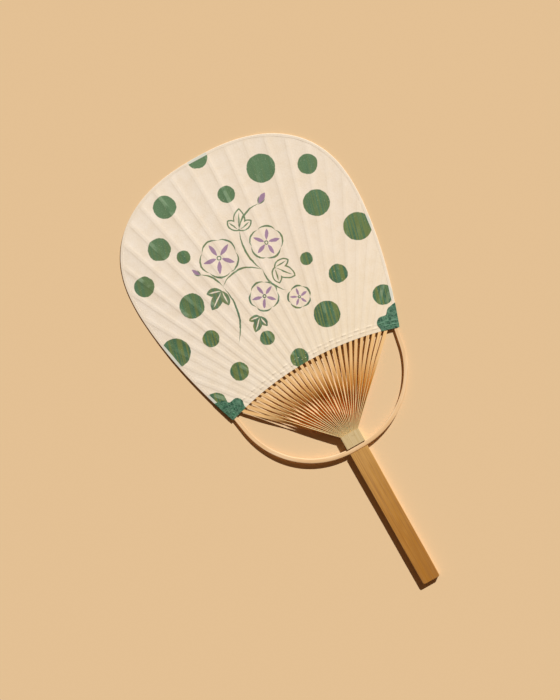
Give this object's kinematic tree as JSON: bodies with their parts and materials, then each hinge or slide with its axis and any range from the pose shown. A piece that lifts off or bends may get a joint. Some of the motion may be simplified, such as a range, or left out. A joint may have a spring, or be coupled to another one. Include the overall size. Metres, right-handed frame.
{
  "type": "round paper hand fan",
  "caption": "Rigid hand fan: flat bamboo handle split into a rib fan, bent bow, two papers, folded edge tape and green corner papers, dotted front face.",
  "frame": {"origin": "centre of the fan's length and width, on the table surface that it lies on (bottom of its box)", "axes": "+Y along the handle to the blade's tip, +X to the right seen from the front, +Z out of the front face; the back of the handle lies in Z = 0"},
  "size_m": [0.2412, 0.4648, 0.006],
  "materials": {
    "bamboo_frame": "satin, oiled golden bamboo handle; paler split ribs",
    "bamboo_bow": "satin, pale scraped bamboo",
    "thread": "matt twisted cotton",
    "front_washi": "matt cream washi with printed green dots",
    "back_washi": "matt cream washi, plain",
    "edge_washi": "thin translucent white washi",
    "corner_washi": "dark green marbled washi"
  },
  "bodies": {
    "root": {"handle_and_ribs": "bamboo_frame", "bow": "bamboo_bow", "lower_thread": "thread", "upper_thread": "thread", "front_paper": "front_washi", "back_paper": "back_washi", "edge_tape": "edge_washi", "left_ear": "corner_washi", "right_ear": "corner_washi"}
  },
  "joints": []
}
